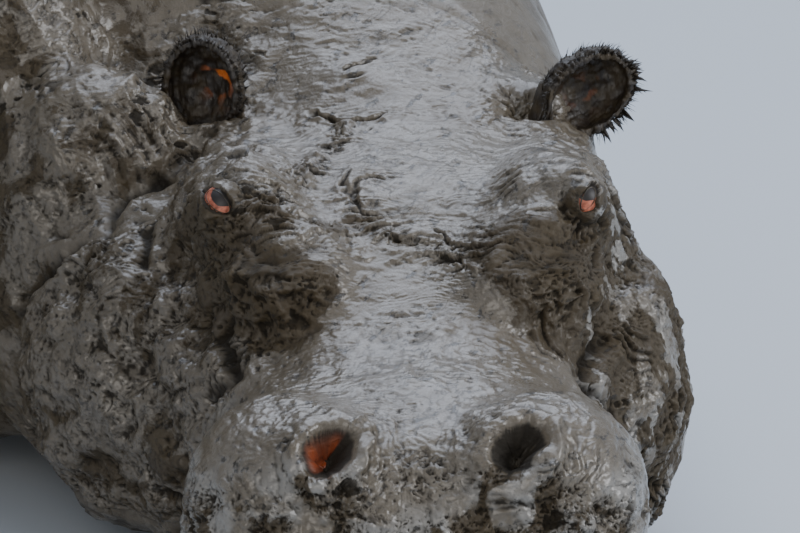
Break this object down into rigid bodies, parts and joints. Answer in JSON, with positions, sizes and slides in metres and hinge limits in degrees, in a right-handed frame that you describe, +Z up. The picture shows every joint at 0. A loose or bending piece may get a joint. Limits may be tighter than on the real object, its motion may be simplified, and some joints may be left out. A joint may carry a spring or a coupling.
{
  "type": "hippopotamus",
  "caption": "Life-size still hippopotamus lying on its belly with folded legs, chin on the floor and head turned to its right.",
  "frame": {"origin": "on the floor, under the middle of the animal's bounding box", "axes": "+Z up; the trunk lies along Y and faces -Y, so the animal's left is +X; the head is turned to its right, towards -X and -Y"},
  "size_m": [1.6722, 3.1426, 0.9544],
  "materials": {
    "skin": "wet clay mud over grey-brown hide",
    "ear": "dark matted hair",
    "eye": "wet glossy"
  },
  "bodies": {
    "root": {"head": "skin", "lower_jaw": "skin", "neck": "skin", "trunk": "skin", "tail": "skin", "foreleg_l": "skin", "foreleg_r": "skin", "forefoot_l": "skin", "forefoot_r": "skin", "hindleg_l": "skin", "hindleg_r": "skin", "hindfoot_l": "skin", "hindfoot_r": "skin", "ear_l": "ear", "ear_r": "ear", "eye_l": "eye", "eye_r": "eye"}
  },
  "joints": []
}
